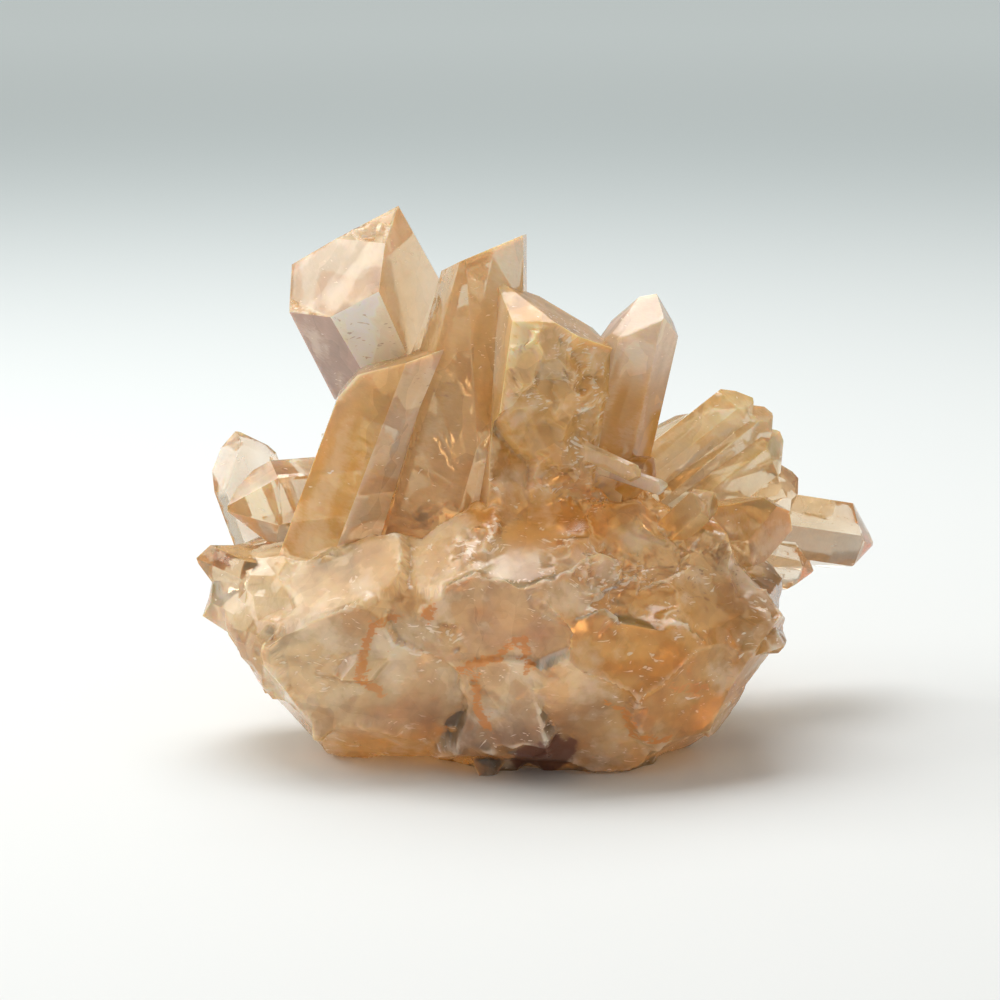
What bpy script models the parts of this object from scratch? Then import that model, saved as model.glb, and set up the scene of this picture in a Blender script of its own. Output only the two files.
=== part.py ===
"""Tangerine quartz cluster: quartz points grown together on one broken, milky base.

The cluster is one piece of rock, so it is one node. Lengths are in millimetres here and are turned
into metres when a mesh is made. +X is to the right of the broken face, +Y goes away from it and +Z is up.
The origin ends up on the floor, under the middle of the cluster.
"""

import math
from typing import NamedTuple

import bmesh
import bpy
from mathutils import Vector, noise

MM = 0.001
NODE = "quartz_cluster"

# A quartz point has six sides 60 degrees apart, and its cap faces lean 51.8 degrees off its axis.
SIDES = 6
SIDE_STEP = 360 / SIDES
CAP_TILT = 51.8

# The cluster stands on a flat that the floor cut leaves at this height.
FLOOR_HEIGHT = 0.0
BLANK = 160.0

# The broken faces are made of tilted flats, wide ones first and small ones on them. They are wider than high.
# Each has its width, and how far it steps and tilts as a share of that width.
FLAKES = ((12.0, 0.2, 0.15), (4.6, 0.05, 0.17))
FLAKE_STRETCH = Vector((1.0, 1.0, 1.6))

COLOUR = (0.78, 0.55, 0.32, 1.0)
ROUGHNESS = 0.2


class Point(NamedTuple):
    """One quartz point: where it is rooted, where it ends, and how its faces lie about its axis."""

    foot: tuple
    head: tuple
    roll: float
    reach: tuple
    drops: tuple = (0, 1.5, 0.2, 1.9, 0.1, 1.1)
    breaks: tuple = ()


class Chunk(NamedTuple):
    """One lump of the broken base: a ball cut flat by fracture faces, then flaked."""

    middle: tuple
    size: tuple
    faces: tuple
    seed: float
    finer: int = 4


NO_CAP = (None,) * SIDES
BLADE_DROPS = (0, 0.3, 0.1, 0.4, 0.05, 0.2)

# The points that show from the broken face.
POINTS = {
    "tall_left": Point((-31, -3, 20), (-17.5, -1, 55.5), -30, (6.5, 6.5, 9.2, 6, 6, 7), NO_CAP,
                       ((-90, 38, 0), (-90, 70, -11), (90, 70, -24))),
    "tall_middle": Point((-17, -4, 26), (-4.5, 1, 71), -15, (6, 8, 7, 6, 6.5, 6), NO_CAP,
                         ((-95, 39, 0.2), (82, 74, -11), (30, 76, -6))),
    "broken_middle": Point((-2, -5, 22), (3.5, -3, 62), -10, (7, 7, 7, 7, 7, 8), NO_CAP,
                           ((80, 22, 0.5), (-20, 35, -4))),
    "tall_right": Point((7, -1, 24), (15.7, 1, 63.5), 0, (5, 4.6, 5, 5, 5, 5), NO_CAP,
                        ((-40, 50, -0.5), (80, 52, -2.5), (180, 52, 0), (-85, 60, -1.5))),
    "side_left": Point((-20, 8, 34), (-43.5, 2, 33.2), 15, (5, 5.5, 5.5, 5, 5, 5), (1, 0.3, -2, 0.2, 0, 0.5)),
    "plate_left": Point((-35, 11, 19), (-43, 8, 43.6), 20, (2, 4.5, 4.5, 2, 4.5, 4.5), (0, 0.2, -1, 0.1, -1, 2)),
    "low_left": Point((-20, 0, 20), (-47.3, -3, 27.2), 30, (5, 2.5, 5, 5, 7, 6), (0, -4, 0.2, 0.5, 0.1, 0.3)),
    "low_left_ridge": Point((-16, -8, 12), (-44.5, -6, 20), 45, (6, 5, 6, 6, 6, 6)),
    "under_left": Point((-6, -2, 9), (-29, -1, 4.5), 30, (4.5, 4.5, 5, 5, 5, 5)),
    "pair_top": Point((10, 5, 32), (32.6, 17, 47.4), 20, (3.6,) * SIDES, (0, 1, 0.1, 2, 0.2, 1)),
    "pair_middle": Point((12, 4, 29), (35.4, 17.5, 45.2), 20, (3.2,) * SIDES, (0, 1, 2, 0.1, 0.2, 1)),
    "pair_low": Point((12, 3, 26), (37, 18, 41.4), 20, (4.2,) * SIDES, (1, 0, 0.2, 1.2, 0.1, 0.3)),
    "shoulder_right": Point((14, -1, 28.5), (38, -2, 32.8), 25, (5, 5, 5, 5, 4, 4), (2, 0.2, 0, 2, 0.1, -2)),
    "far_right": Point((22, 16, 29.5), (52.2, 31, 21.8), 10, (5, 4.4, 5.2, 5, 5, 5), (0, 1, 0.1, 1.2, 0.2, 0.8)),
    "far_top": Point((16, 12, 28), (41, 24, 33), 30, (5,) * SIDES, (0, 3, 0.1, 2, 0.2, 1)),
    "far_low": Point((20, 14, 26), (42.5, 22, 19.5), 5, (4,) * SIDES, (0, 1, 0.1, 1.2, 0.2, 0.8)),
}

# The points that the broken face hides: each one's turn from +X, its climb, its length, its reach and its roll.
ROOT = (1, 8, 24)
HIDDEN_DROPS = (0, 1.5, 0.5, 2, 0.1, 1)
HIDDEN_POINTS = {
    "back_crown": (100, 48, 46, 6.5, 12),
    "back_crown_left": (128, 44, 46, 6, 40),
    "back_crown_right": (66, 46, 42, 5.5, 5),
    "back_left": (148, 22, 42, 5.5, 20),
    "back_right": (40, 24, 40, 5, 33),
    "back_middle": (92, 18, 36, 6.5, 50),
    "back_low_left": (118, 2, 34, 5, 10),
    "back_low_right": (62, -2, 33, 5, 25),
    "back_far_left": (164, 6, 38, 4.5, 45),
    "back_heel": (88, -22, 30, 5.5, 15),
    "crown_small": (78, 64, 36, 4, 22),
    "crown_left": (140, 62, 44, 5, 30),
    "back_low_corner": (30, -14, 34, 4.5, 0),
    "back_low_side": (146, -16, 34, 4.5, 35),
}

# The top left point looks out to the front, so its corners are placed one by one.
TOP_LEFT = {
    "tip": (-21.2, -4, 65), "up": (-20.4, -0.5, 71.2), "left": (-28.1, 0.5, 60.8), "down": (-17.9, 0, 56.5),
    "brow": (-30.4, 8.9, 70), "low": (-24.1, 3.7, 53.2), "edge": (-34.2, 7, 60.5), "rear_low": (-28.4, 14.2, 46.8),
    "edge_up": (-33.2, 10.2, 67.3), "crest": (-18.7, 4.3, 75.8), "right": (-13.9, 10, 66),
    "right_low": (-16.7, 2.3, 56.2), "back_up": (-18, 20, 72), "back_left": (-30, 20, 64),
    "back_right": (-10, 20, 62), "root": (-12, 8, 42), "root_back": (-12, 20, 42),
}
TOP_LEFT_FACES = (
    ("tip", "up", "left"), ("tip", "left", "down"), ("tip", "down", "up"), ("left", "low", "edge"),
    ("left", "brow", "edge"), ("brow", "up", "crest"), ("crest", "right", "back_up"),
    ("back_up", "back_left", "back_right"), ("right", "right_low", "back_right"), ("edge", "rear_low", "back_left"),
    ("edge_up", "crest", "back_up"), ("rear_low", "root", "root_back"),
)

# The broken base. Each fracture face is a spot on it and the direction that it looks in.
CHUNKS = {
    "left_slab": Chunk((-24, -3, 17), (24, 17, 18), (
        ((-41, -4, 14.3), (-0.77, -0.15, -0.64)), ((-34, -4, 6.8), (-0.57, -0.1, -0.82)), ((-44, -3, 20), (-1, -0.1, -0.1)),
        ((-22, -19, 14), (-0.1, -1, -0.15)), ((-36, -14, 16), (-0.6, -1, -0.2)),
        ((-27, -15, 27), (-0.2, -0.7, 0.8)), ((-20, -17, 5), (0.1, -0.8, -0.8)),
        ((-38, -10, 23), (-0.6, -0.7, 0.5)), ((-24, 14, 17), (0, 1, 0)), ((-24, -3, 31), (-0.2, 0, 1)),
        ((-24, 0, -1), (0, 0, -1))), 3.0),
    "middle_mass": Chunk((3, -3, 17), (27, 23, 22), (
        ((-2, -24, 17), (-0.15, -1, 0.1)), ((12, -23, 15), (0.25, -1, -0.05)), ((4, -21, 5), (0, -0.75, -0.75)),
        ((-8, -15, 37), (-0.3, -0.6, 0.75)), ((4, -18, 30), (0.1, -0.6, 0.8)), ((14, -15, 28), (0.35, -0.5, 0.8)),
        ((-14, -20, 14), (-0.8, -0.7, 0)), ((24, -16, 10), (0.7, -0.6, -0.6)), ((-14, -13, 1), (-0.6, -0.2, -0.8)),
        ((4, 20, 17), (0, 1, 0.2)), ((4, 0, -1), (0, 0, -1))), 7.0, 5),
    "right_mass": Chunk((21, -2, 18), (20, 16, 15), (
        ((34.5, -4, 15.5), (0.65, -0.1, -0.75)), ((34, -4, 19), (0.85, -0.1, 0.5)),
        ((28, -15, 18), (0.45, -1, 0.05)), ((22, -13, 27), (0.1, -0.6, 0.8)), ((30, -6, 30), (0.5, -0.2, 0.9)),
        ((28, -9, 9), (0.6, -0.5, -0.8)), ((22, 12, 18), (0, 1, 0))), 12.0),
    "back_mass": Chunk((2, 9, 17), (24, 19, 18), (
        ((2, 10, -1), (0, 0, -1)), ((-14, 22, 8), (-0.6, 0.6, -0.6)), ((16, 22, 8), (0.6, 0.6, -0.6))), 20.0),
}

# Where pieces have broken out of the front: a hollow below the ledge of the broken point, and a lens in the base.
BITES = {
    "ledge_hollow": Chunk((2, -16, 44), (13, 8.5, 12), (((1, -14, 54.5), (-0.15, 0.3, 1)),), 31.0, 3),
    "lens_hollow": Chunk((17, -21.5, 25.5), (8, 5.5, 3), (((17, -20, 26.4), (0.1, -0.1, 1)),), 37.0, 3),
}

# Small points and blades that stand in front of the hollows.
TRIM_POINTS = {
    "dark_stub": Point((9, 0, 33), (16.6, -7, 43), 0, (2.2, 2, 2.4, 2, 2, 2), (0, 1, 0.1, 0.2, 1.1, 0.3)),
    "thin_blade": Point((2, -3, 45), (14.8, -12.6, 40.8), 15, (0.6, 1.2, 1.2, 0.6, 1.2, 1.2), BLADE_DROPS),
    "short_blade": Point((8, -4, 41), (18.4, -11.5, 38.8), 10, (0.5, 1, 1, 0.5, 1, 1), BLADE_DROPS),
    "edge_stub": Point((18, -4, 30), (25.5, -9, 38.5), 20, (2.6, 2.2, 2.6, 2.2, 2.4, 2), (0, 1, 0.1, 1.2, 0.2, 0.4)),
}


def frame_of(foot, head):
    """The axis of a point, and the two directions across it that turn 0 and turn 90 face."""
    axis = (Vector(head) - Vector(foot)).normalized()
    front = Vector((0, -1, 0))
    front = (front - axis * front.dot(axis)).normalized()
    return axis, front, axis.cross(front)


def facing(point, turn, tilt):
    """The direction that a face looks in: turned about the point's axis, and tilted away from it."""
    axis, front, right = frame_of(point.foot, point.head)
    turn, tilt = math.radians(turn), math.radians(tilt)
    across = front * math.cos(turn) + right * math.sin(turn)
    return across * math.sin(tilt) + axis * math.cos(tilt)


def planes_of(point):
    """The faces of a point, each as a spot on it and the direction it looks in."""
    foot, head = Vector(point.foot), Vector(point.head)
    axis = (head - foot).normalized()
    planes = [(foot, -axis)]
    for side, (reach, drop) in enumerate(zip(point.reach, point.drops)):
        turn = point.roll + side * SIDE_STEP
        outward = facing(point, turn, 90)
        planes.append((foot + outward * reach, outward))
        if drop is not None:
            planes.append((head - axis * drop, facing(point, turn, CAP_TILT)))
    for turn, tilt, drop in point.breaks:
        planes.append((head - axis * drop, facing(point, turn, tilt)))
    return planes


def corner_planes(corners, faces):
    """Faces that pass through three named corners each, looking away from the corners' middle."""
    middle = sum((Vector(corner) for corner in corners.values()), Vector()) / len(corners)
    planes = []
    for names in faces:
        first, second, third = (Vector(corners[name]) for name in names)
        outward = (second - first).cross(third - first).normalized()
        if outward.dot(first - middle) < 0:
            outward = -outward
        planes.append((first, outward))
    return planes


def hidden_point(turn, climb, length, reach, roll):
    """A point that starts at the root, turned from +X about +Z and then raised."""
    turn, climb = math.radians(turn), math.radians(climb)
    way = Vector((math.cos(climb) * math.cos(turn), math.cos(climb) * math.sin(turn), math.sin(climb)))
    head = Vector(ROOT) + way * length
    return Point(ROOT, tuple(head), roll, (reach,) * SIDES, HIDDEN_DROPS)


def cut_off(mesh, spot, outward, tolerance=1e-5):
    """Cuts away what lies beyond a plane, and closes the cut."""
    geometry = mesh.verts[:] + mesh.edges[:] + mesh.faces[:]
    cut = bmesh.ops.bisect_plane(
        mesh, geom=geometry, dist=tolerance, plane_co=spot, plane_no=outward, clear_outer=True
    )
    rim = [part for part in cut["geom_cut"] if isinstance(part, bmesh.types.BMEdge)]
    if rim:
        bmesh.ops.edgeloop_fill(mesh, edges=rim)


def cut_solid(middle, planes):
    """A solid with flat faces: a large block cut by every plane."""
    mesh = bmesh.new()
    bmesh.ops.create_cube(mesh, size=BLANK)
    bmesh.ops.translate(mesh, vec=middle, verts=mesh.verts)
    for spot, outward in planes:
        cut_off(mesh, spot, outward)
    bmesh.ops.remove_doubles(mesh, verts=mesh.verts, dist=1e-3)
    bmesh.ops.recalc_face_normals(mesh, faces=mesh.faces)
    return mesh


def quartz_point(point):
    return cut_solid((Vector(point.foot) + Vector(point.head)) / 2, planes_of(point))


def flake_height(spot, seed):
    """How far a break stands proud at a spot: it is made of flats, each with its own height and tilt."""
    height = 0
    for width, step, tilt in FLAKES:
        place = spot * FLAKE_STRETCH / width + Vector((seed, seed, seed))
        middle = noise.voronoi(place)[1][0]
        slope = 2 * noise.cell_vector(middle * 31) - Vector((1, 1, 1))
        height += width * (step * noise.noise(middle * 1.7) + tilt * slope.dot(place - middle))
    return height


def broken_lump(chunk):
    """A ball whose surface is drawn in to the fracture faces and then flaked."""
    mesh = bmesh.new()
    bmesh.ops.create_icosphere(mesh, subdivisions=chunk.finer, radius=1.0)
    middle, size = Vector(chunk.middle), Vector(chunk.size)
    for vert in mesh.verts:
        ball = vert.co * size
        ray, reach = ball.normalized(), ball.length
        for spot, outward in chunk.faces:
            outward = Vector(outward).normalized()
            if ray.dot(outward) > 1e-6:
                reach = min(reach, (Vector(spot) - middle).dot(outward) / ray.dot(outward))
        vert.co = middle + ray * (reach + flake_height(middle + ray * reach, chunk.seed))
    return mesh


def add_object(name, mesh, collection):
    """Puts a mesh in a collection at its real size."""
    bmesh.ops.scale(mesh, vec=(MM, MM, MM), verts=mesh.verts)
    data = bpy.data.meshes.new(name)
    mesh.to_mesh(data)
    mesh.free()
    made = bpy.data.objects.new(name, data)
    collection.objects.link(made)
    return made


def new_collection(name):
    made = bpy.data.collections.new(name)
    bpy.context.scene.collection.children.link(made)
    return made


def combine(target, operation, collection):
    """Joins every object of a collection to the target, or cuts each one out of it."""
    boolean = target.modifiers.new(collection.name, "BOOLEAN")
    boolean.operation = operation
    boolean.operand_type = "COLLECTION"
    boolean.collection = collection
    boolean.solver = "EXACT"


def take_result(target):
    """Gives the target the mesh that its modifiers make, and takes the modifiers off."""
    view = bpy.context.evaluated_depsgraph_get()
    view.update()
    result = bpy.data.meshes.new_from_object(target.evaluated_get(view))
    target.modifiers.clear()
    target.data = result


def remove_collection(collection):
    for helper in list(collection.objects):
        bpy.data.objects.remove(helper)
    bpy.data.collections.remove(collection)


def shells_of(mesh):
    """The separate shells of a mesh, each as a set of its corners."""
    shells, left = [], set(mesh.verts)
    while left:
        shell, edge_of_shell = set(), [left.pop()]
        while edge_of_shell:
            vert = edge_of_shell.pop()
            shell.add(vert)
            near = {edge.other_vert(vert) for edge in vert.link_edges} & left
            left -= near
            edge_of_shell.extend(near)
        shells.append(shell)
    return shells


def keep_outer_shell(mesh):
    """Fills the hollows sealed in between the points, and drops loose chips: only the largest shell stays."""
    shells = shells_of(mesh)
    shells.sort(key=len)
    for shell in shells[:-1]:
        bmesh.ops.delete(mesh, geom=list(shell), context="VERTS")


def stand_on_floor(target):
    """Cuts the flat that the cluster rests on, and puts the origin below the middle of the cluster."""
    mesh = bmesh.new()
    mesh.from_mesh(target.data)
    cut_off(mesh, Vector((0, 0, FLOOR_HEIGHT * MM)), Vector((0, 0, -1)), 1e-8)
    keep_outer_shell(mesh)
    low = Vector([min(vert.co[axis] for vert in mesh.verts) for axis in range(3)])
    high = Vector([max(vert.co[axis] for vert in mesh.verts) for axis in range(3)])
    middle = (low + high) / 2
    bmesh.ops.translate(mesh, vec=(-middle.x, -middle.y, -low.z), verts=mesh.verts)
    mesh.to_mesh(target.data)
    mesh.free()


def quartz_material():
    made = bpy.data.materials.new("tangerine_quartz")
    made.use_nodes = True
    shader = made.node_tree.nodes["Principled BSDF"]
    shader.inputs["Base Color"].default_value = COLOUR
    shader.inputs["Roughness"].default_value = ROUGHNESS
    shader.inputs["Metallic"].default_value = 0.0
    return made


def build():
    for old in list(bpy.data.objects):
        bpy.data.objects.remove(old)
    grown = new_collection("grown_on")
    bites = new_collection("broken_out")
    trim = new_collection("small_points")
    cluster = add_object(NODE, broken_lump(CHUNKS["middle_mass"]), bpy.context.scene.collection)
    for name, chunk in CHUNKS.items():
        if name != "middle_mass":
            add_object(name, broken_lump(chunk), grown)
    for name, point in POINTS.items():
        add_object(name, quartz_point(point), grown)
    for name, lie in HIDDEN_POINTS.items():
        add_object(name, quartz_point(hidden_point(*lie)), grown)
    top_left = cut_solid(Vector(TOP_LEFT["tip"]), corner_planes(TOP_LEFT, TOP_LEFT_FACES))
    add_object("top_left", top_left, grown)
    for name, chunk in BITES.items():
        add_object(name, broken_lump(chunk), bites)
    for name, point in TRIM_POINTS.items():
        add_object(name, quartz_point(point), trim)
    combine(cluster, "UNION", grown)
    combine(cluster, "DIFFERENCE", bites)
    combine(cluster, "UNION", trim)
    take_result(cluster)
    stand_on_floor(cluster)
    for helpers in (grown, bites, trim):
        remove_collection(helpers)
    cluster.data.materials.append(quartz_material())


build()
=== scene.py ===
"""Tangerine quartz cluster: clear and milky quartz points on one broken base, on a pale floor."""

import math
from typing import NamedTuple

import bmesh
import bpy
import numpy as np
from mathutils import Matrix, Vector, noise


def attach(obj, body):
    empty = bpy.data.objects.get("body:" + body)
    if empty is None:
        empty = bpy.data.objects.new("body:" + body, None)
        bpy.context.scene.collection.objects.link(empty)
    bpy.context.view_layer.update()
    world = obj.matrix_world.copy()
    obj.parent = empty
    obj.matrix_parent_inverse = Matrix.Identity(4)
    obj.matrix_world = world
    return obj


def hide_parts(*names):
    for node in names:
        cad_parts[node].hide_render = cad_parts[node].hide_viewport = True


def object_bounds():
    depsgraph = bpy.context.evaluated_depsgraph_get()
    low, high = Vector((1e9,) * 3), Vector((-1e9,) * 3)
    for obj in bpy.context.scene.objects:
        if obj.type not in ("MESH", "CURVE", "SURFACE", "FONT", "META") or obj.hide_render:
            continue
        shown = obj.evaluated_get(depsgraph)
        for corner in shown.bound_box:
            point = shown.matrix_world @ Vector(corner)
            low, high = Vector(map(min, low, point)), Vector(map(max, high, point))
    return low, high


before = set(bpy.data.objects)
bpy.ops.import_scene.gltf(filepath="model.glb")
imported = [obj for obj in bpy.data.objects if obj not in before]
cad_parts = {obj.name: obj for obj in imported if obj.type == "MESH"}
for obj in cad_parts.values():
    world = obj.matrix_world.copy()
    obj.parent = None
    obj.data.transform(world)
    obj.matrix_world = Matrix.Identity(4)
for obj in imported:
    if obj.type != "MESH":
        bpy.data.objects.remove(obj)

bl_info = {
    "name": "Quartz Cluster",
    "version": (1, 0, 0),
    "blender": (4, 5, 0),
    "location": "View3D > Sidebar > Quartz",
    "description": "Builds the looks of a tangerine quartz cluster and its pale stage",
    "category": "Object",
}

CAD_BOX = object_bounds()
NODE = "quartz_cluster"
BODY = "root"
MM = 0.001

# The cluster's own spots are measured in millimetres from the middle of its root, which lies here.
ROOT_SPOT = Vector((-2.212, -7.062, 0))

# The camera looks down at the cluster from in front, from a hand's reach away.
VIEW_TARGET = (-4.6, 0, 35)
VIEW_CLIMB = math.radians(12)
VIEW_DISTANCE = 0.45
VIEW_LENS = 115.7
VIEW_SENSOR = 36
VIEW_BACK = Vector((0, -math.cos(VIEW_CLIMB), math.sin(VIEW_CLIMB)))
VIEW_UP = Vector((0, math.sin(VIEW_CLIMB), math.cos(VIEW_CLIMB)))
PHOTO_WIDTH = 1000

# Colours of the quartz, as light that it gives back.
CREAM = (0.64, 0.51, 0.33)
PEARL = (0.84, 0.72, 0.54)
SAND = (0.6, 0.45, 0.25)
PEACH = (0.78, 0.54, 0.29)
TAN = (0.62, 0.36, 0.1)
HONEY = (0.56, 0.31, 0.08)
AMBER = (0.6, 0.26, 0.02)
STRAW = (0.7, 0.5, 0.2)
UMBER = (0.27, 0.13, 0.035)
# Mauve darkened with painted shade, for the bottom front that faces downwards.
SHADED_MAUVE = (0.3, 0.19, 0.11)
BLUSH = (0.87, 0.69, 0.57)


class Zone(NamedTuple):
    """A stretch of the cluster round a line from foot to head, with its colour and how clear it is."""

    foot: tuple
    head: tuple
    reach: float
    colour: tuple
    clear: float


POINTS = (
    Zone((-26, 8, 46), (-22, -2, 66), 11, PEARL, 0.65),
    Zone((-31, -3, 20), (-17.5, -1, 55.5), 8, TAN, 0.43),
    Zone((-17, -4, 26), (-4.5, 1, 71), 7, PEACH, 0.6),
    Zone((-2, -5, 22), (3.5, -3, 62), 8, TAN, 0.35),
    Zone((7, -1, 24), (13.5, 0, 50), 6, AMBER, 0.3),
    Zone((14, 0, 55), (15.7, 1, 63.5), 5, BLUSH, 0.35),
    Zone((-20, 8, 34), (-43.5, 2, 33.2), 6, PEACH, 0.7),
    Zone((-35, 11, 19), (-43, 8, 43.6), 6, PEARL, 0.8),
    Zone((-20, 0, 20), (-47.3, -3, 27.2), 6, SAND, 0.6),
    Zone((-16, -8, 12), (-44.5, -6, 20), 7, SAND, 0.5),
    Zone((-6, -2, 9), (-29, -1, 4.5), 7, HONEY, 0.6),
    Zone((10, 5, 32), (32.6, 17, 47.4), 4, STRAW, 0.55),
    Zone((12, 4, 29), (35.4, 17.5, 45.2), 4, STRAW, 0.6),
    Zone((12, 3, 26), (37, 18, 41.4), 5, STRAW, 0.55),
    Zone((14, -1, 28.5), (38, -2, 32.8), 6, TAN, 0.6),
    Zone((22, 16, 29.5), (52.2, 31, 21.8), 6, PEACH, 0.75),
    Zone((16, 12, 28), (41, 24, 33), 6, STRAW, 0.8),
    Zone((20, 14, 26), (42.5, 22, 19.5), 5, PEACH, 0.75),
    Zone((1, 20, 24), (-6, 45, 60), 12, PEACH, 0.7),
    Zone((1, 20, 24), (20, 40, 50), 12, STRAW, 0.7),
    Zone((1, 20, 20), (0, 50, 26), 12, SAND, 0.6),
    Zone((-20, 20, 26), (-36, 30, 34), 9, PEACH, 0.7),
    Zone((2, -3, 45), (14.8, -12.6, 40.8), 1.2, PEACH, 0.4),
    Zone((8, -4, 41), (18.4, -11.5, 38.8), 1.2, BLUSH, 0.4),
)

ROCK = (
    Zone((-36, -8, 22), (-24, -16, 12), 9, CREAM, 0.3),
    Zone((-24, -14, 30), (-12, -18, 26), 9, SAND, 0.32),
    Zone((-14, -18, 30), (8, -20, 26), 7, CREAM, 0.25),
    Zone((-16, -20, 16), (0, -22, 16), 8, CREAM, 0.28),
    # At the bottom front, which faces downwards, the colour is darkened as painted shade.
    Zone((-10, -20, 6), (8, -20, 4), 9, SHADED_MAUVE, 0.12),
    Zone((10, -20, 22), (22, -18, 20), 8, TAN, 0.38),
    Zone((20, -16, 12), (32, -8, 16), 9, HONEY, 0.35),
    Zone((26, -12, 22), (36, -4, 14), 11, UMBER, 0.1),
    Zone((12, -18, 6), (24, -12, 6), 6, SAND, 0.3),
    Zone((16, -10, 31), (24, -8, 27), 8, SAND, 0.35),
    Zone((-2, -12, 36), (9, -10, 34), 7, HONEY, 0.4),
    Zone((0, -8, 50), (8, -6, 46), 6, TAN, 0.2),
    Zone((-26, -12, 2), (-12, -14, 3), 6, HONEY, 0.4),
    Zone((-30, 10, 10), (20, 20, 8), 14, SAND, 0.3),
    Zone((-20, 24, 20), (20, 26, 20), 12, TAN, 0.35),
)

# The thin points at the sides, whose faces are small.
SMALL_POINTS = POINTS[6:10] + POINTS[11:18] + POINTS[22:] + (
    Zone((9, 0, 33), (16.6, -7, 43), 2.5, AMBER, 0.2),
)

# Single faces with looks of their own: a pixel of the photo that shows the face, its colour, how clear it is and how hazy.
OWN_FACES = (
    ((350, 270), (0.5, 0.38, 0.28), 0.4, 1.0),
    ((368, 335), (0.98, 0.95, 0.82), 0.3, 1.0),
    ((420, 290), (0.78, 0.56, 0.36), 0.6, 0.4),
    ((320, 350), (0.3, 0.16, 0.13), 0.1, 0.0),
    ((430, 365), (0.74, 0.52, 0.36), 0.4, 0.5),
    ((262, 480), (0.82, 0.62, 0.48), 0.35, 0.5),
    ((240, 520), (0.6, 0.36, 0.2), 0.5, 0.0),
    ((245, 600), (0.84, 0.68, 0.52), 0.35, 0.5),
    ((390, 740), (0.8, 0.44, 0.12), 0.3, 0.0),
    ((760, 530), (0.45, 0.22, 0.07), 0.4, 0.0),
    ((850, 545), (0.42, 0.2, 0.09), 0.35, 0.0),
    ((545, 350), (0.8, 0.55, 0.27), 0.1, 0.0),
)

# Flats of points that are broken off rough: middle and reach.
ROUGH_PARTS = (
    ((2.5, -8, 50), (8, 8, 14)),
    ((-26, 2, 72), (9, 8, 4)),
)

# Flakes of the broken rock, in millimetres: smallest, largest, how flat they are, how far they lean and stand out,
# and whether they are found only where the rock is crushed.
FLAKES = (
    (8.0, 15.0, 1.0, 0.1, 0.0, False),
    (1.6, 3.4, 1.0, 0.3, 0.3, True),
)
FLAKE_SEED = 7
FLAKE_REACH = 1.8

# Behind this line, in metres, the broken rock is built with edges so many times longer.
BACK_START = 0.002
BACK_COARSER = 1.7

# Lines of iron rust on the front, as spots (x, z), with how wide they are.
RUST = (
    (0.9, (-18.4, 23.0), (-21.6, 22.2), (-22.3, 18.4), (-23.3, 13.6), (-21.4, 12.2)),
    (0.8, (-10.2, 16.2), (-7.8, 18.2), (-4.4, 19.6), (-1.4, 20.5), (-0.6, 17.0)),
    (0.9, (-8.5, 15.4), (-7.4, 11.4), (-5.8, 9.2)),
    (1.2, (-13.8, 23.8), (-13.4, 23.0)),
    (0.6, (10.0, 12.0), (14.0, 7.0), (18.0, 6.0)),
    (0.6, (18.0, 14.0), (24.0, 12.0)),
)

# Dark iron patches: middle and reach.
STAINS = (
    ((1.6, -17, 3.4), (4.6, 9, 3.8)),
)

# Where small dark specks lie: middle and reach.
SPECKLED = (
    ((-22.5, 0, 58), (5, 8, 6)),
    ((-13.5, -6, 52), (4, 6, 4)),
    ((24, -12, 27), (10, 10, 5)),
    ((7, -10, 38), (6, 10, 4)),
)

# Where the rock is shattered and sparkles: middle and reach.
SHATTERED = (
    ((-26, 2, 74), (9, 8, 3.0)),
    ((-19.5, -16, 34.5), (2.2, 8, 3.0)),
    ((-8, -17, 32), (3.5, 8, 2.8)),
    ((7, -17, 30.5), (6, 8, 2.4)),
    ((2, -10, 57), (8, 10, 7)),
    ((5, -12, 44), (6, 8, 5)),
    ((12, -16, 28), (5, 8, 1.5)),
    ((31, -12, 24), (5, 8, 2)),
    ((-12, -20, 20), (3, 6, 3)),
)


def spot(x, y, z):
    """A spot on the cluster in metres, from millimetres about its root."""
    return (Vector((x, y, z)) + ROOT_SPOT) * MM


class ClusterShape(bpy.types.PropertyGroup):
    rock_edge: bpy.props.FloatProperty(
        name="Rock edge", description="Longest edge on the broken rock", default=0.0007, precision=5, unit="LENGTH"
    )
    face_edge: bpy.props.FloatProperty(
        name="Face edge", description="Longest edge on a crystal face", default=0.002, precision=5, unit="LENGTH"
    )
    crystal_face: bpy.props.FloatProperty(
        name="Crystal face", description="Smallest flat in square metres that counts as a crystal face",
        default=9e-6, precision=8,
    )
    worn_edge: bpy.props.FloatProperty(
        name="Worn edge", description="Width of the wear along the crystals' edges", default=0.00012, precision=5,
        unit="LENGTH",
    )


class ClusterFinish(bpy.types.PropertyGroup):
    # Frost colour: healed cracks, veils and shattered quartz, and also the painted glints and painted edge highlights.
    frost_and_highlights: bpy.props.FloatVectorProperty(
        name="Frost", description="Healed cracks and shattered quartz", subtype="COLOR", size=3,
        default=(0.9, 0.78, 0.64),
    )
    rust: bpy.props.FloatVectorProperty(
        name="Rust", description="Iron rust in the seams", subtype="COLOR", size=3, default=(0.64, 0.23, 0.04)
    )
    stain: bpy.props.FloatVectorProperty(
        name="Stain", description="Dark iron patches", subtype="COLOR", size=3, default=(0.15, 0.045, 0.025)
    )
    ochre: bpy.props.FloatVectorProperty(
        name="Ochre", description="Faint rust round the seams", subtype="COLOR", size=3, default=(0.74, 0.42, 0.15)
    )
    skin: bpy.props.FloatVectorProperty(
        name="Skin", description="Tint of light that comes out through the milky skin", subtype="COLOR", size=3,
        default=(0.7, 0.48, 0.24),
    )
    glow: bpy.props.FloatProperty(
        name="Glow", description="How deep light gets into the milky quartz", default=0.0017, precision=4, unit="LENGTH"
    )


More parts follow.
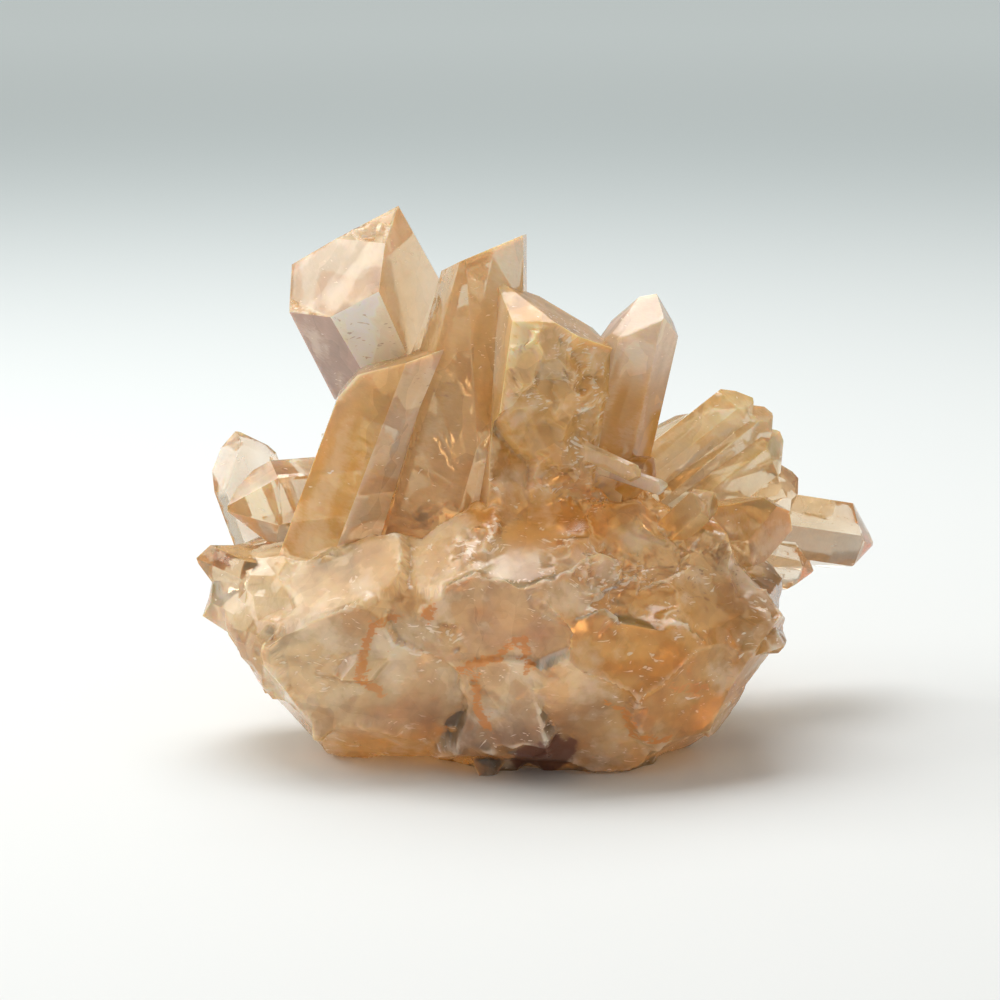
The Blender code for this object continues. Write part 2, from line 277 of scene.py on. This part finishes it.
class StageSettings(bpy.types.PropertyGroup):
    floor_near: bpy.props.FloatVectorProperty(
        name="Floor near", description="The floor round the cluster", subtype="COLOR", size=3,
        default=(0.785, 0.81, 0.81),
    )
    # The darker far floor is painted shade, standing in for the light falling off along the floor.
    floor_far: bpy.props.FloatVectorProperty(
        name="Floor far", description="The floor far behind", subtype="COLOR", size=3, default=(0.63, 0.72, 0.74)
    )
    # A painted glow on the far floor, not a lamp.
    far_painted_glow: bpy.props.FloatVectorProperty(
        name="Far light", description="Light that reaches the far floor only", subtype="COLOR", size=3,
        default=(0.2, 0.22, 0.22),
    )
    room: bpy.props.FloatProperty(name="Room", description="Strength of the soft light all round", default=0.44)
    window: bpy.props.FloatProperty(name="Window", description="Power of the left light", default=2.2, unit="POWER")
    ceiling: bpy.props.FloatProperty(name="Ceiling", description="Power of the top light", default=4.0, unit="POWER")


class Wire:
    """A shader socket that sums can be written with."""

    def __init__(self, tree, socket):
        self.tree = tree
        self.socket = socket

    def sum(self, operation, *values):
        node = self.tree.nodes.new("ShaderNodeMath")
        node.operation = operation
        for place, value in zip(node.inputs, values):
            self.tree.put(place, value)
        return Wire(self.tree, node.outputs[0])

    def __add__(self, other):
        return self.sum("ADD", self, other)

    def __radd__(self, other):
        return self.sum("ADD", other, self)

    def __sub__(self, other):
        return self.sum("SUBTRACT", self, other)

    def __rsub__(self, other):
        return self.sum("SUBTRACT", other, self)

    def __mul__(self, other):
        return self.sum("MULTIPLY", self, other)

    def __rmul__(self, other):
        return self.sum("MULTIPLY", other, self)

    def most(self, other):
        return self.sum("MAXIMUM", self, other)

    def held(self):
        """Kept from 0 to 1."""
        return self.tree.node("ShaderNodeClamp", Value=self)

    def step(self, start, end):
        """Rises smoothly from 0 at start to 1 at end."""
        return self.tree.node(
            "ShaderNodeMapRange", {"interpolation_type": "SMOOTHSTEP"},
            **{"Value": self, "From Min": start, "From Max": end},
        )


class Tree:
    """The nodes of one material, with short ways to add them."""

    def __init__(self, material):
        material.use_nodes = True
        self.nodes = material.node_tree.nodes
        self.links = material.node_tree.links
        self.nodes.clear()

    def put(self, place, value):
        if isinstance(value, Wire):
            self.links.new(value.socket, place)
        elif value is not None:
            place.default_value = value

    def node(self, kind, settings=None, output=0, **values):
        made = self.nodes.new(kind)
        for name, value in (settings or {}).items():
            setattr(made, name, value)
        for name, value in values.items():
            self.put(made.inputs[name], value)
        return Wire(self, made.outputs[output])

    def mark(self, name, output="Fac"):
        """What the mesh says of each spot under this name."""
        return self.node("ShaderNodeAttribute", {"attribute_name": name}, output=output)

    def place(self):
        """Where a spot of the surface lies, in the cluster's own millimetres."""
        coords = self.node("ShaderNodeTexCoord", output="Object")
        return self.vector("SUBTRACT", self.vector("SCALE", coords, Scale=1 / MM), tuple(ROOT_SPOT))

    def vector(self, operation, first, second=None, output=0, **values):
        node = self.nodes.new("ShaderNodeVectorMath")
        node.operation = operation
        self.put(node.inputs[0], first)
        if second is not None:
            self.put(node.inputs[1], second)
        for name, value in values.items():
            self.put(node.inputs[name], value)
        return Wire(self, node.outputs[output])

    def noise(self, where, width, detail=3.0, roughness=0.55, distortion=0.0, output="Fac"):
        """Cloudy noise whose clouds are about this many millimetres wide."""
        return self.node(
            "ShaderNodeTexNoise", output=output, Vector=where, Scale=1 / width, Detail=detail,
            Roughness=roughness, Distortion=distortion,
        )

    def cells(self, where, width, output="Distance", **settings):
        return self.node("ShaderNodeTexVoronoi", settings, output=output, Vector=where, Scale=1 / width)

    def warp(self, where, width, reach):
        """Spots moved about by noise, so that straight edges wander."""
        push = self.vector("SUBTRACT", self.noise(where, width, 2, output="Color"), (0.5, 0.5, 0.5))
        return self.vector("ADD", where, self.vector("SCALE", push, Scale=2 * reach))

    def flakes(self, where, width, tilt):
        """The height in millimetres of flat flakes that each lean their own way, and a random value of each."""
        cell = self.cells(where, width)
        corner, colour = (Wire(self, cell.socket.node.outputs[name]) for name in ("Position", "Color"))
        lean = self.vector("SCALE", self.vector("SUBTRACT", colour, (0.5, 0.5, 0.5)), Scale=2 * tilt)
        height = self.vector("DOT_PRODUCT", self.vector("SUBTRACT", where, corner), lean, output="Value")
        return height, self.node("ShaderNodeSeparateColor", output="Red", Color=colour)

    def mix(self, share, first, second, blend="MIX"):
        """One colour turned into another."""
        node = self.nodes.new("ShaderNodeMix")
        node.data_type = "RGBA"
        node.blend_type = blend
        self.put(node.inputs[0], share)
        for place, value in ((node.inputs[6], first), (node.inputs[7], second)):
            self.put(place, value if isinstance(value, Wire) else (*value, 1.0))
        return Wire(self, node.outputs[2])

    def blend(self, share, first, second):
        """One shader turned into another."""
        node = self.nodes.new("ShaderNodeMixShader")
        for place, value in zip(node.inputs, (share, first, second)):
            self.put(place, value)
        return Wire(self, node.outputs[0])

    def shader(self, **values):
        named = {name.replace("_", " "): value for name, value in values.items()}
        return self.node("ShaderNodeBsdfPrincipled", **named)

    def finish(self, surface, volume=None):
        out = self.nodes.new("ShaderNodeOutputMaterial")
        self.put(out.inputs["Surface"], surface)
        self.put(out.inputs["Volume"], volume)


def only(piece):
    """Selects one object and nothing else."""
    if bpy.context.object and bpy.context.object.mode != "OBJECT":
        bpy.ops.object.mode_set(mode="OBJECT")
    bpy.ops.object.select_all(action="DESELECT")
    piece.select_set(True)
    bpy.context.view_layer.objects.active = piece


def merged_copy(node, name):
    """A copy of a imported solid, with its loose triangles joined and its flats made whole."""
    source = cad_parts[node]
    piece = bpy.data.objects.new(name, source.data.copy())
    bpy.context.scene.collection.objects.link(piece)
    only(piece)
    bpy.ops.object.mode_set(mode="EDIT")
    bpy.ops.mesh.select_all(action="SELECT")
    bpy.ops.mesh.remove_doubles(threshold=1e-6)
    bpy.ops.mesh.dissolve_limited(angle_limit=math.radians(0.4))
    bpy.ops.object.mode_set(mode="OBJECT")
    return piece


def is_rock(face, crystal_face):
    """A flat is rock where it is small, at the underside, or in a stretch that is known to be broken."""
    middle = np.array([face.center / MM - ROOT_SPOT])
    if face.normal.z < -0.99 and middle[0, 2] < 0.1:
        return True
    if any(from_egg(middle, *part)[0] < 1 for part in ROUGH_PARTS):
        return True
    if any(from_line(middle, zone.foot, zone.head)[0] < 1.2 * zone.reach for zone in SMALL_POINTS):
        return face.area < crystal_face / 8
    return face.area < crystal_face


def view_place():
    """Where the camera stands."""
    return spot(*VIEW_TARGET) + VIEW_BACK * VIEW_DISTANCE


def face_behind(piece, pixel):
    """The face that a pixel of the photo shows, found along the camera's line of sight."""
    across, down = ((part / PHOTO_WIDTH - 0.5) * VIEW_SENSOR / VIEW_LENS for part in pixel)
    sight = Vector((across, 0, 0)) - VIEW_UP * down - VIEW_BACK
    met, _, _, index = piece.ray_cast(view_place(), sight.normalized())
    if not met:
        raise RuntimeError(f"no face behind pixel {pixel}")
    return index


CRYSTAL, ROCK_FLAT, WORN = range(3)


def mark_flats(piece, crystal_face):
    """Gives a face material index 1 where the rock is broken and 0 on a crystal face, and each flat its own tone."""
    mesh = piece.data
    for _ in range(3):
        mesh.materials.append(None)
    tones = []
    for face in mesh.polygons:
        face.material_index = int(is_rock(face, crystal_face))
        lean = face.normal @ Vector((12.9898, 78.233, 37.719))
        tones.append(math.modf(abs(math.sin(lean) * 437.58))[0])
    add_mark(mesh, "tone", "FLOAT", "FACE", tones)
    own = np.zeros((len(mesh.polygons), 6))
    bpy.context.view_layer.update()
    for pixel, colour, clear, hazy in OWN_FACES:
        own[face_behind(piece, pixel)] = (*colour, 1.0, clear, hazy)
    add_mark(mesh, "own", "FLOAT_COLOR", "FACE", own[:, :4])
    add_mark(mesh, "own_clear", "FLOAT", "FACE", own[:, 4])
    add_mark(mesh, "own_haze", "FLOAT", "FACE", own[:, 5])


def wear_edges(piece, width):
    """Cuts a narrow worn flat along the edges between crystal faces."""
    mesh = bmesh.new()
    mesh.from_mesh(piece.data)
    weights = mesh.edges.layers.float.new("bevel_weight_edge")
    for edge in mesh.edges:
        flats = [face.material_index == 0 for face in edge.link_faces]
        if len(flats) == 2 and all(flats) and edge.is_convex and edge.calc_face_angle() > math.radians(12):
            edge[weights] = 1.0
    mesh.to_mesh(piece.data)
    mesh.free()
    bevel = piece.modifiers.new("wear", "BEVEL")
    bevel.limit_method = "WEIGHT"
    bevel.width = width
    bevel.segments = 1
    bevel.material = WORN
    only(piece)
    bpy.ops.object.modifier_apply(modifier=bevel.name)


def longest(edge, rock_edge, face_edge):
    """How long an edge may be: short on the broken rock, a little longer at the back, and long on flat faces."""
    on_floor = all(vert.co.z < 1e-5 for vert in edge.verts)
    if on_floor or not any(face.material_index == ROCK_FLAT for face in edge.link_faces):
        return face_edge
    behind = all(vert.co.y > BACK_START for vert in edge.verts)
    return rock_edge * (BACK_COARSER if behind else 1.0)


def refine(piece, rock_edge, face_edge):
    """Splits edges until none is longer than it may be."""
    mesh = bmesh.new()
    mesh.from_mesh(piece.data)
    bmesh.ops.triangulate(mesh, faces=mesh.faces[:])
    for _ in range(8):
        edges = [edge for edge in mesh.edges if edge.calc_length() > longest(edge, rock_edge, face_edge)]
        if not edges:
            break
        bmesh.ops.subdivide_edges(mesh, edges=edges, cuts=1)
        bmesh.ops.triangulate(mesh, faces=[face for face in mesh.faces if len(face.verts) > 3])
    mesh.to_mesh(piece.data)
    mesh.free()


def rock_share(piece, fade):
    """How broken each spot is: 0 on the crystal faces and on the floor, and 1 well inside the broken rock."""
    mesh = bmesh.new()
    mesh.from_mesh(piece.data)
    away = {}
    edge_spots = []
    for vert in mesh.verts:
        kinds = {face.material_index for face in vert.link_faces}
        if kinds == {1} and vert.co.z > 1e-5:
            away[vert] = fade
        elif 1 in kinds:
            away[vert] = 0.0
            edge_spots.append(vert)
    while edge_spots:
        reached = []
        for vert in edge_spots:
            for edge in vert.link_edges:
                other = edge.other_vert(vert)
                length = away[vert] + edge.calc_length()
                if other in away and length < away[other] - 1e-9:
                    away[other] = length
                    reached.append(other)
        edge_spots = reached
    shares = [0.0] * len(mesh.verts)
    for vert, length in away.items():
        shares[vert.index] = length / fade
    mesh.free()
    return np.array(shares)


def spots_of(mesh):
    """Where the mesh's vertices lie, in the cluster's own millimetres."""
    flat = np.empty(len(mesh.vertices) * 3)
    mesh.vertices.foreach_get("co", flat)
    return flat.reshape(-1, 3) / MM - np.array(ROOT_SPOT)


def middles_of(mesh):
    flat = np.empty(len(mesh.polygons) * 3)
    mesh.polygons.foreach_get("center", flat)
    return flat.reshape(-1, 3) / MM - np.array(ROOT_SPOT)


def ridges_of(mesh):
    """How sharply the mesh bends outwards at each vertex, for each millimetre."""
    spots = spots_of(mesh)
    normals = np.empty(len(mesh.vertices) * 3)
    mesh.vertices.foreach_get("normal", normals)
    normals = normals.reshape(-1, 3)
    first, second = ends_of(mesh)
    apart = spots[first] - spots[second]
    bend = np.sum((normals[first] - normals[second]) * apart, axis=1) / np.sum(apart * apart, axis=1).clip(0.01)
    total = np.bincount(first, bend, len(spots)) + np.bincount(second, bend, len(spots))
    count = np.bincount(first, minlength=len(spots)) + np.bincount(second, minlength=len(spots))
    return total / count.clip(1)


def from_line(spots, start, end):
    """How far spots lie from a line."""
    start, end = np.array(start, float), np.array(end, float)
    along = end - start
    share = np.clip((spots - start) @ along / (along @ along), 0, 1)
    return np.linalg.norm(spots - start - share[:, None] * along, axis=1)


def from_egg(spots, middle, reach):
    """How far spots lie from the middle of an egg-shaped region, where its skin is at 1."""
    return np.linalg.norm((spots - np.array(middle)) / np.array(reach), axis=1)


def fall(values, start, end):
    """1 up to start, and falls smoothly to 0 at end."""
    share = np.clip((end - values) / (end - start), 0, 1)
    return share * share * (3 - 2 * share)


def wander(spots, width, reach):
    """Spots moved about by noise, so that lines drawn by them wander."""
    pushes = [
        [noise.noise(Vector(place) / width + Vector((side * 31.7, 0, 0))) for side in range(3)] for place in spots
    ]
    return spots + reach * np.array(pushes)


def add_mark(mesh, name, kind, domain, values):
    field = "color" if kind == "FLOAT_COLOR" else "vector" if kind == "FLOAT_VECTOR" else "value"
    mesh.attributes.new(name, kind, domain).data.foreach_set(field, np.ravel(values).astype(np.float32))


def blend_zones(spots, shares):
    """The colour and clearness of each spot, blended from the zones that it is near."""
    total = np.zeros(len(spots))
    colour = np.zeros((len(spots), 3))
    clear = np.zeros(len(spots))
    for zones, part in ((POINTS, 1 - shares), (ROCK, 0.04 + shares)):
        for zone in zones:
            near = part * (1 + 12 / zone.reach) * np.exp(-3.0 * (from_line(spots, zone.foot, zone.head) / zone.reach) ** 2) + 1e-12
            total += near
            colour += near[:, None] * np.array(zone.colour)
            clear += near * zone.clear
    return colour / total[:, None], clear / total


def fractal(spots, width, octaves):
    """Cloudy noise at each spot, about 0 to 1."""
    return np.array([0.5 + 0.5 * noise.fractal(Vector(place) / width, 0.8, 2.0, octaves) for place in spots])


def choose_flakes(spots, sizes, order):
    """Picks spots that lie at least their own flake's size from each other."""
    chosen = []
    for index in order:
        near = np.linalg.norm(spots[chosen] - spots[index], axis=1) if chosen else np.array([np.inf])
        if near.min() > sizes[index]:
            chosen.append(index)
    return np.array(chosen)


def nearest_flake(spots, middles, sizes, grains):
    """Which flake each spot belongs to: larger flakes reach further, and each is drawn out across its own grain."""
    found = []
    for part in np.array_split(spots, 1 + len(spots) // 4000):
        apart = part[:, None] - middles[None]
        away = np.linalg.norm(apart, axis=2) + 0.9 * np.abs(np.einsum("ijk,jk->ij", apart, grains))
        found.append(np.argmin(away / sizes, axis=1))
    return np.concatenate(found)


def flatten_flakes(spots, weights, flake, tilt, lift, chance):
    """Presses the spots of each flake onto one plane of their own, which leans and stands out a little at random."""
    moved = spots.copy()
    order = np.argsort(flake, kind="stable")
    starts = np.searchsorted(flake[order], np.arange(flake.max() + 2))
    for first, last in zip(starts, starts[1:]):
        members = order[first:last]
        lean, out = chance.normal(size=3) * tilt, chance.normal() * lift
        if len(members) < 6:
            continue
        part = spots[members]
        middle = part.mean(axis=0)
        normal = np.linalg.svd(part - middle, full_matrices=False)[2][2] + lean
        normal /= np.linalg.norm(normal)
        height = np.clip((part - middle) @ normal - out, -FLAKE_REACH, FLAKE_REACH)
        moved[members] -= (weights[members] * height)[:, None] * normal
    return moved


def ends_of(mesh):
    """The two vertices of each edge."""
    ends = np.empty(len(mesh.edges) * 2, dtype=np.int32)
    mesh.edges.foreach_get("vertices", ends)
    return ends.reshape(-1, 2).T


def mean_of_neighbours(mesh, values):
    """At each vertex, the mean of what its neighbours have."""
    first, second = ends_of(mesh)
    total = np.zeros_like(values)
    np.add.at(total, first, values[second])
    np.add.at(total, second, values[first])
    count = np.bincount(first, minlength=len(values)) + np.bincount(second, minlength=len(values))
    return total / count[:, None]


def break_rock(piece, shares):
    """Breaks the rock into flat flakes, wide ones first and then small ones where it is crushed."""
    mesh = piece.data
    chance = np.random.default_rng(FLAKE_SEED)
    spots, middles = spots_of(mesh), middles_of(mesh)
    crushed = np.max([fall(from_egg(spots, *patch), 0.7, 1.2) for patch in SHATTERED + ROUGH_PARTS], axis=0)
    tones = np.empty(len(mesh.polygons))
    mesh.attributes["tone"].data.foreach_get("value", tones)
    rock_faces = np.array([face.material_index == 1 for face in mesh.polygons])
    spread = 0.5 + 0.5 * np.array([noise.noise(Vector(place) / 9) for place in spots])
    for small, large, flat, tilt, lift, crushed_only in FLAKES:
        weights = shares * flat * (crushed if crushed_only else 1.0)
        sizes = small + (large - small) * spread
        chosen = choose_flakes(spots, sizes, chance.permutation(np.flatnonzero(weights > 0.02)))
        grains = chance.normal(size=(len(chosen), 3))
        grains /= np.linalg.norm(grains, axis=1)[:, None]
        flake = nearest_flake(wander(spots, small, small / 9), spots[chosen], sizes[chosen], grains)
        face_flake = nearest_flake(wander(middles, small, small / 9), spots[chosen], sizes[chosen], grains)
        if not crushed_only:
            tones[rock_faces] = 0.35 * tones[rock_faces] + 0.65 * chance.random(len(chosen))[face_flake[rock_faces]]
        flake[weights <= 0] = -1
        spots = flatten_flakes(spots, weights, flake, tilt, lift, chance)
    spots += 0.25 * shares[:, None] * (mean_of_neighbours(mesh, spots) - spots)
    low, high = (np.array(corner) / MM - np.array(ROOT_SPOT) for corner in CAD_BOX)
    spots = np.clip(spots, low, high)
    mesh.attributes["tone"].data.foreach_set("value", tones.astype(np.float32))
    mesh.vertices.foreach_set("co", ((spots + np.array(ROOT_SPOT)) * MM).ravel().astype(np.float32))
    mesh.update()


def mark_looks(piece, shares):
    """Writes on the mesh where the quartz is tinted, clear, rusty, stained, shattered or speckled."""
    mesh = piece.data
    spots = spots_of(mesh)
    colour, clear = blend_zones(spots, np.clip(shares * 3, 0, 1))
    add_mark(mesh, "tint", "FLOAT_COLOR", "POINT", np.column_stack([colour, np.ones(len(spots))]))
    add_mark(mesh, "clear", "FLOAT", "POINT", clear)
    add_mark(mesh, "broken", "FLOAT", "POINT", np.clip(shares * 2, 0, 1))

    axes = np.array([Vector(zone.head) - Vector(zone.foot) for zone in POINTS])
    axes /= np.linalg.norm(axes, axis=1)[:, None]
    nearest = np.argmin([from_line(spots, zone.foot, zone.head) / zone.reach for zone in POINTS], axis=0)
    along = np.sum(spots * axes[nearest], axis=1)[:, None] * axes[nearest]
    drawn = spots - 0.65 * along * (1 - np.clip(shares * 2, 0, 1))[:, None]
    add_mark(mesh, "cloud", "FLOAT", "POINT", fractal(drawn, 6.0, 5))
    add_mark(mesh, "patch", "FLOAT", "POINT", fractal(spots + 40, 7.0, 3))
    add_mark(mesh, "shift", "FLOAT_VECTOR", "POINT", wander(spots, 3.0, 1.3) - spots)

    spots = wander(wander(spots, 6.0, 1.4), 1.2, 0.45)
    front = fall(spots[:, 1], -10, -4)
    rust = np.zeros(len(spots))
    for width, *line in RUST:
        for start, end in zip(line, line[1:]):
            away = from_line(spots[:, [0, 2]], start, end)
            rust = np.maximum(rust, front * np.exp(-(away / width) ** 2))
    add_mark(mesh, "rust", "FLOAT", "POINT", rust)
    stain = np.max([fall(from_egg(spots, *patch), 0.6, 1.4) for patch in STAINS], axis=0)
    add_mark(mesh, "stain", "FLOAT", "POINT", stain)
    shattered = np.max([fall(from_egg(spots, *patch), 0.5, 1.6) for patch in SHATTERED], axis=0)
    add_mark(mesh, "shattered", "FLOAT", "POINT", shattered)

    speckled = np.max([fall(from_egg(spots, *patch), 0.6, 1.3) for patch in SPECKLED], axis=0)
    add_mark(mesh, "speckled", "FLOAT", "POINT", speckled)

    worn = np.array([float(face.material_index == WORN) for face in mesh.polygons])
    add_mark(mesh, "worn", "FLOAT", "FACE", worn)
    add_mark(mesh, "ridge", "FLOAT", "POINT", ridges_of(mesh))
    middles = middles_of(mesh)
    nearest = np.argmin([from_line(middles, zone.foot, zone.head) / zone.reach for zone in POINTS], axis=0)
    add_mark(mesh, "axis", "FLOAT_VECTOR", "FACE", axes[nearest])


def quartz_material(finish):
    """Milky quartz that clears towards the tips, broken into flakes at its base, with rust in its seams."""
    material = bpy.data.materials.new("tangerine_quartz")
    tree = Tree(material)
    where = tree.place()
    broken, rust, stain = tree.mark("broken"), tree.mark("rust"), tree.mark("stain")
    shattered, clear, tone = tree.mark("shattered"), tree.mark("clear"), tree.mark("tone")
    tint, axis = tree.mark("tint", "Color"), tree.mark("axis", "Vector")
    cloud, patch, speckled = tree.mark("cloud"), tree.mark("patch"), tree.mark("speckled")
    worn, ridge = tree.mark("worn"), tree.mark("ridge")
    own, own_clear = tree.mark("own", "Color"), tree.mark("own_clear")
    owned, own_haze = tree.mark("own", "Alpha"), tree.mark("own_haze")

    # Inside a point, clouds and cracks are drawn out along its length.
    along = tree.vector("DOT_PRODUCT", where, axis, output="Value")
    drawn = tree.vector("SUBTRACT", where, tree.vector("SCALE", axis, Scale=along * 0.7))
    shift = tree.mark("shift", "Vector")
    loose = tree.vector("ADD", where, shift)
    drawn = tree.vector("ADD", drawn, shift)
    grown = tree.vector("ADD", where, tree.vector("SCALE", axis, Scale=along * (1 - broken) * 1.6))
    fine = tree.noise(grown, 0.9, 2, 0.7)
    blocks = tree.vector("FLOOR", tree.vector("SCALE", drawn, Scale=1 / 4.5))
    inner_tone = tree.node("ShaderNodeTexWhiteNoise", Vector=blocks)

    light = 1.08 + (inner_tone - 0.5) * 0.36 + (cloud - 0.5) * 0.7 + (tone - 0.5) * (0.26 + 0.3 * broken)
    light = light + (fine - 0.5) * 0.3
    # Concave creases of the broken rock are darkened here: painted crease shade.
    light = light * (1 - (0 - ridge).step(0.15, 0.9) * broken * 0.3)
    colour = tree.vector("SCALE", tree.mix(owned * 0.85, tint, own), Scale=light)
    veil = (cloud + fine * 0.3).step(0.7, 1.0) * 0.4
    sparks = tree.noise(tree.vector("MULTIPLY", loose, (1.0, 1.0, 3.2)), 1.3, 1, 0.6)
    # Glints are small white streaks painted into the colour: a painted highlight of tiny fracture faces.
    glints = (sparks - 0.715 + shattered * 0.09 + broken * 0.06).step(0.0, 0.04) * patch.step(0.4, 0.6)
    haze = cloud.step(0.5, 0.57) * broken
    # Whitening along the convex ridges of the broken rock and along the worn crystal edges: a painted edge highlight.
    edges = (ridge.step(0.15, 0.7) * broken * patch.step(0.4, 0.6) * 0.55).most(worn * 0.45)
    veil = veil + own_haze * cloud.step(0.47, 0.6) * 0.7 + haze * 0.07
    # Veils, haze and shattered quartz whiten the colour towards frost, and so do the painted glints and the painted
    # edge highlights.
    colour = tree.mix((veil + glints * 0.8 + shattered * 0.1 + edges).held(), colour, finish.frost_and_highlights)

    rusty = (rust * 1.6 + sparks * 2.4 + fine * 2.2 - 3.1).step(0.0, 0.5)
    colour = tree.mix(rust * fine * 0.7, colour, finish.ochre)
    colour = tree.mix(rusty * 0.85, colour, finish.rust)
    specks = (0.2 + speckled * 0.15 - sparks).step(0.0, 0.03)
    dirt = (stain * 1.6 + fine * 1.2 - 1.1).step(0.0, 0.5).most(specks * 0.7)
    colour = tree.mix(dirt * 0.9, colour, finish.stain)

    rough = 0.06 + broken * 0.06 + fine * 0.08
    milky = tree.shader(
        Base_Color=colour, Roughness=rough, IOR=1.544, Subsurface_Weight=1.0, Subsurface_Radius=(1.0, 0.6, 0.33),
        Subsurface_Scale=finish.glow,
    )
    # Seen from inside, the milky skin lets the light of the room through.
    skin = tree.node("ShaderNodeBsdfTranslucent", Color=(*finish.skin, 1.0))
    inside = tree.node("ShaderNodeNewGeometry", output="Backfacing")
    milky = tree.blend(inside, milky, skin)
    glassy = tree.shader(
        Base_Color=(1.0, 1.0, 1.0, 1.0), Roughness=broken * 0.12 + fine * 0.04, IOR=1.544, Transmission_Weight=1.0,
    )
    clear = clear + (own_clear - clear) * owned
    clear = (clear + broken * 0.13) * (1.35 - 0.6 * cloud) * (1 - haze * 0.3)
    quartz = tree.blend(clear.held(), milky, glassy)
    # The matte crust lies over stains, specks and rust, and also over the painted glints and painted edge highlights.
    crust = tree.shader(Base_Color=colour, Roughness=0.45 - glints * 0.3)
    crust_and_highlight_share = dirt.most(rusty * 0.3).most(glints * 0.75).most(edges * 0.6) * 0.9
    depth = tree.node("ShaderNodeVolumeAbsorption", Color=(0.985, 0.8, 0.5, 1.0), Density=70.0)
    tree.finish(tree.blend(crust_and_highlight_share, quartz, crust), depth)
    return material


def floor_material(settings):
    """A pale floor that darkens with distance, like a long sheet of paper: its darker far colour is painted shade and
    the glow on the far floor is painted light.
    """
    material = bpy.data.materials.new("pale_floor")
    tree = Tree(material)
    coords = tree.node("ShaderNodeTexCoord", output="Object")
    away = tree.node("ShaderNodeSeparateXYZ", output="Y", Vector=coords)
    colour = tree.mix(away.step(-0.12, 0.95), settings.floor_near, settings.floor_far)
    far_painted_glow = tree.mix(away.step(0.3, 1.6), (0.0, 0.0, 0.0), settings.far_painted_glow)
    tree.finish(tree.shader(Base_Color=colour, Roughness=0.7, Emission_Color=far_painted_glow, Emission_Strength=1.0))
    return material


class CLUSTER_OT_quartz(bpy.types.Operator):
    """Build the quartz: its flat crystal faces, and the broken rock between and below them"""

    bl_idname = "cluster.quartz"
    bl_label = "Quartz"

    def execute(self, context):
        shape, finish = context.scene.cluster_shape, context.scene.cluster_finish
        piece = merged_copy(NODE, "quartz")
        mark_flats(piece, shape.crystal_face)
        wear_edges(piece, shape.worn_edge)
        refine(piece, shape.rock_edge, shape.face_edge)
        shares = rock_share(piece, 0.0015)
        break_rock(piece, shares)
        mark_looks(piece, shares)
        for face in piece.data.polygons:
            face.material_index = 0
        piece.data.materials.clear()
        piece.data.materials.append(quartz_material(finish))
        only(piece)
        bpy.ops.object.shade_smooth_by_angle(angle=math.radians(13))
        print("quartz triangles", len(piece.data.polygons))
        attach(piece, BODY)
        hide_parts(NODE)
        return {"FINISHED"}


def add_softbox(name, place, size, power, colour):
    lamp = bpy.data.lights.new(name, "AREA")
    lamp.shape = "RECTANGLE"
    lamp.size, lamp.size_y = size
    lamp.energy = power
    lamp.color = colour
    box = bpy.data.objects.new(name, lamp)
    box.location = place
    box.rotation_euler = (Vector((0, 0, 0.03)) - box.location).to_track_quat("-Z", "Y").to_euler()
    bpy.context.scene.collection.objects.link(box)


class CLUSTER_OT_stage(bpy.types.Operator):
    """Build the pale floor, the soft lights and the camera"""

    bl_idname = "cluster.stage"
    bl_label = "Stage"

    def execute(self, context):
        scene, settings = context.scene, context.scene.cluster_stage
        bpy.ops.object.select_all(action="DESELECT")
        bpy.ops.mesh.primitive_plane_add(size=12)
        floor = context.object
        floor.name = "floor"
        floor.data.materials.append(floor_material(settings))

        world = bpy.data.worlds.new("soft_room")
        scene.world = world
        world.use_nodes = True
        sky = world.node_tree.nodes["Background"]
        sky.inputs["Color"].default_value = (1.0, 0.97, 0.92, 1.0)
        sky.inputs["Strength"].default_value = settings.room
        add_softbox("window", (-0.62, 0.08, 0.42), (0.55, 0.52), settings.window, (1.0, 0.98, 0.95))
        add_softbox("ceiling", (-0.1, 0.22, 0.68), (0.6, 0.45), settings.ceiling, (1.0, 1.0, 1.0))
        scene.view_settings.view_transform = "Standard"

        camera = bpy.data.cameras.new("view")
        camera.lens = VIEW_LENS
        camera.sensor_width = VIEW_SENSOR
        view = bpy.data.objects.new("view", camera)
        view.location = view_place()
        view.rotation_euler = (-VIEW_BACK).to_track_quat("-Z", "Y").to_euler()
        scene.collection.objects.link(view)
        scene.camera = view
        return {"FINISHED"}


class CLUSTER_PT_panel(bpy.types.Panel):
    bl_label = "Quartz Cluster"
    bl_idname = "CLUSTER_PT_panel"
    bl_space_type = "VIEW_3D"
    bl_region_type = "UI"
    bl_category = "Quartz"

    def draw(self, context):
        for operator in OPERATORS:
            self.layout.operator(operator.bl_idname)


OPERATORS = (CLUSTER_OT_quartz, CLUSTER_OT_stage)
GROUPS = {"cluster_shape": ClusterShape, "cluster_finish": ClusterFinish, "cluster_stage": StageSettings}


def register():
    for group in GROUPS.values():
        bpy.utils.register_class(group)
    for name, group in GROUPS.items():
        setattr(bpy.types.Scene, name, bpy.props.PointerProperty(type=group))
    for made in (*OPERATORS, CLUSTER_PT_panel):
        bpy.utils.register_class(made)


def unregister():
    for made in (CLUSTER_PT_panel, *reversed(OPERATORS)):
        bpy.utils.unregister_class(made)
    for name, group in GROUPS.items():
        delattr(bpy.types.Scene, name)
        bpy.utils.unregister_class(group)


def main():
    register()
    bpy.ops.cluster.quartz()
    bpy.ops.cluster.stage()


if __name__ == "__main__":
    main()
